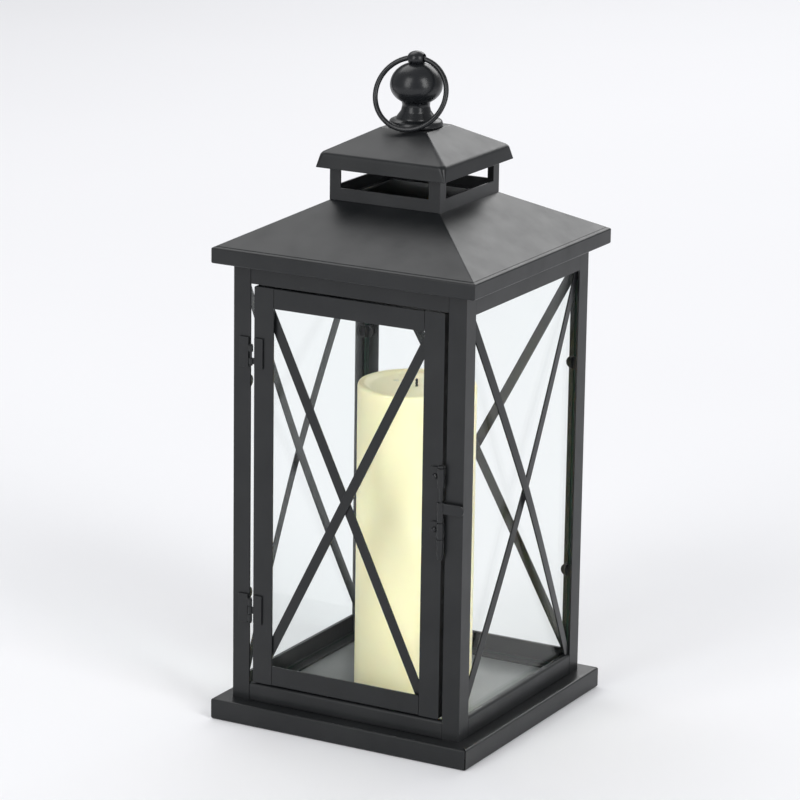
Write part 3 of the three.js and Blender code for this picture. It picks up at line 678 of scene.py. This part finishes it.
def make_rivet(node):
    """Rivet with a domed head in front and a flat tail behind."""
    low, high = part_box(node)
    deep = (high.y - low.y) / MM
    x, z = (low.x + high.x) / 2, (low.z + high.z) / 2
    dome = [(1.8 * math.sin(a), 1.0 - 1.0 * math.cos(a)) for a in (math.pi / 2 * i / 8 for i in range(9))]
    tail = rounded([
        (1.05, 1.0, 0), (1.05, deep - 0.6, 0), (1.9, deep - 0.6, 0.1), (1.9, deep, 0.2), (0, deep, 0)])
    bm = turned(dome + tail, SMALL)
    bmesh.ops.rotate(bm, verts=bm.verts, cent=(0, 0, 0), matrix=Matrix.Rotation(-math.pi / 2, 3, "X"))
    bmesh.ops.translate(bm, verts=bm.verts, vec=(x, low.y, z))
    obj = make_object(node + "_turned", bm)
    obj.data.set_sharp_from_angle(angle=math.radians(50))
    return stand_for(obj, node)


# ---------------------------------------------------------------- everything on the frame
make_base()
make_roof()
make_cap()
make_finial()
make_ring()
make_candle()
make_wick()
make_latch_rod()
for level in ("upper", "lower"):
    make_pin(f"hinge_{level}_pin")
    make_rivet(f"latch_rivet_{level}")


STILE_HALF = 66.8 * MM


def stile_corner(edge):
    """The door's four outer corners, where a stile's front face meets its end."""
    a, b = edge.verts
    return (abs(a.co.x) > STILE_HALF - 0.05 * MM and abs(b.co.x) > STILE_HALF - 0.05 * MM
            and abs(a.co.z - b.co.z) < 0.01 * MM and abs(a.co.x - b.co.x) < 0.01 * MM)


def darken_rim(obj):
    """Gives a pane's narrow edge faces their ground finish."""
    obj.data.materials.append(PANE_EDGE)
    for polygon in obj.data.polygons:
        if polygon.area < PANE_FACE_AREA:
            polygon.material_index = 1


def paint_slit_shade(obj):
    """Paints the latch stile's free edge, deep in the slit beside the post, nearly black and matt: painted shade
    for the slit.
    """
    obj.data.materials.append(SLIT_PAINTED_SHADE)
    for polygon in obj.data.polygons:
        if polygon.normal.x > 0.9:
            polygon.material_index = 1


def reaches_of(node):
    """Which ends of a fixed sheet run on across the CAD's clearance to the sheet they are fixed to."""
    if node.startswith("post_"):
        return ((2, 1, CLEARANCE), (2, -1, CLEARANCE))
    if node.startswith("pane_"):
        along = 0 if node == "pane_back" else 1
        return ((along, 1, PANE_RUN_ON), (along, -1, PANE_RUN_ON))
    if node == "vent_box":
        return ((2, -1, 0.8 * MM),)
    if node.startswith("rail_"):
        along = 0 if node.endswith(("front", "back")) else 1
        upright_side = 1 if "top" in node else -1
        return ((along, 1, CLEARANCE), (along, -1, CLEARANCE), (2, upright_side, CLEARANCE))
    return ()


NO_FOLD = ("pane", "cross", "battery", "led", "sensor", "hinge", "latch", "switch", "candle")
for node, source in frame["nodes"].items():
    if source.hide_render:
        continue
    fold = 0 if any(word in node for word in NO_FOLD) else FOLD_RADIUS
    extra = (stile_corner, 0.9 * MM) if node.startswith("door_stile") else None
    flat = 0.3 if "cross" in node else 1.0
    obj = stand_for(soft_copy(node, fold=fold, extra=extra, reaches=reaches_of(node), flat=flat), node)
    if "pane" in node:
        darken_rim(obj)
    # Painted shade on the latch stile's edge in the slit beside the post.
    if node == "door_stile_latch":
        paint_slit_shade(obj)


# ---------------------------------------------------------------- stage, light and camera
def make_floor():
    material, tree, shader, _ = new_material("floor_paper")
    cloud = spread(tree, noise(tree, 1.3, 2.0), 0.0, 1.0)
    paper = blend_colours(tree, cloud, (0.87, 0.87, 0.89), (0.885, 0.885, 0.905))
    tree.links.new(paper, shader.inputs["Base Color"])
    shader.inputs["Roughness"].default_value = 0.9
    shader.inputs["Specular IOR Level"].default_value = 0.1
    bm = bmesh.new()
    bmesh.ops.create_circle(bm, cap_ends=True, radius=14.0, segments=96)
    floor = make_object("floor", bm, smooth=False)
    floor.location.z = -0.0002
    floor.data.materials.append(material)


def soft_box(name, place, aim, width, height, power):
    light = bpy.data.lights.new(name, "AREA")
    light.shape = "RECTANGLE"
    light.size = width
    light.size_y = height
    light.energy = power
    obj = bpy.data.objects.new(name, light)
    obj.location = place
    obj.rotation_euler = (Vector(aim) - Vector(place)).to_track_quat("-Z", "Y").to_euler()
    obj.visible_camera = False
    bpy.context.scene.collection.objects.link(obj)


def make_light():
    world = bpy.data.worlds.new("studio")
    world.use_nodes = True
    background = world.node_tree.nodes["Background"]
    background.inputs["Color"].default_value = (0.97, 0.98, 1.0, 1.0)
    background.inputs["Strength"].default_value = 0.42
    bpy.context.scene.world = world
    soft_box("back_box", (-0.4, 3.4, 2.2), (0, 0, 0.3), 3.0, 1.8, 45.0)
    soft_box("top_box", (-1.4, 0.8, 2.6), (0, 0, 0.2), 1.9, 1.9, 22.0)
    soft_box("left_box", (-0.55, -2.75, 1.65), (0, 0, 0.2), 1.15, 2.7, 42.0)
    soft_box("right_box", (2.7, -1.05, 1.65), (0, 0, 0.2), 1.15, 2.7, 53.0)


def make_camera():
    out = Vector((math.sin(VIEW_AZIMUTH) * math.cos(VIEW_ELEVATION),
                  -math.cos(VIEW_AZIMUTH) * math.cos(VIEW_ELEVATION), math.sin(VIEW_ELEVATION)))
    right = Vector((math.cos(VIEW_AZIMUTH), math.sin(VIEW_AZIMUTH), 0))
    up = right.cross(-out)
    right_rolled = right * math.cos(VIEW_ROLL) + up * math.sin(VIEW_ROLL)
    up_rolled = up * math.cos(VIEW_ROLL) - right * math.sin(VIEW_ROLL)
    camera = bpy.data.objects.new("camera", bpy.data.cameras.new("camera"))
    camera.data.lens = LENS_MM
    camera.data.sensor_width = SENSOR_MM
    camera.data.clip_start = 0.05
    place = right * VIEW_SIDE + Vector((0, 0, VIEW_HEIGHT)) + out * VIEW_DISTANCE
    turn = Matrix((right_rolled, up_rolled, out)).transposed().to_4x4()
    camera.matrix_world = Matrix.Translation(place) @ turn
    bpy.context.scene.collection.objects.link(camera)
    bpy.context.scene.camera = camera


make_floor()
make_light()
make_camera()
bpy.context.scene.view_settings.view_transform = "Standard"
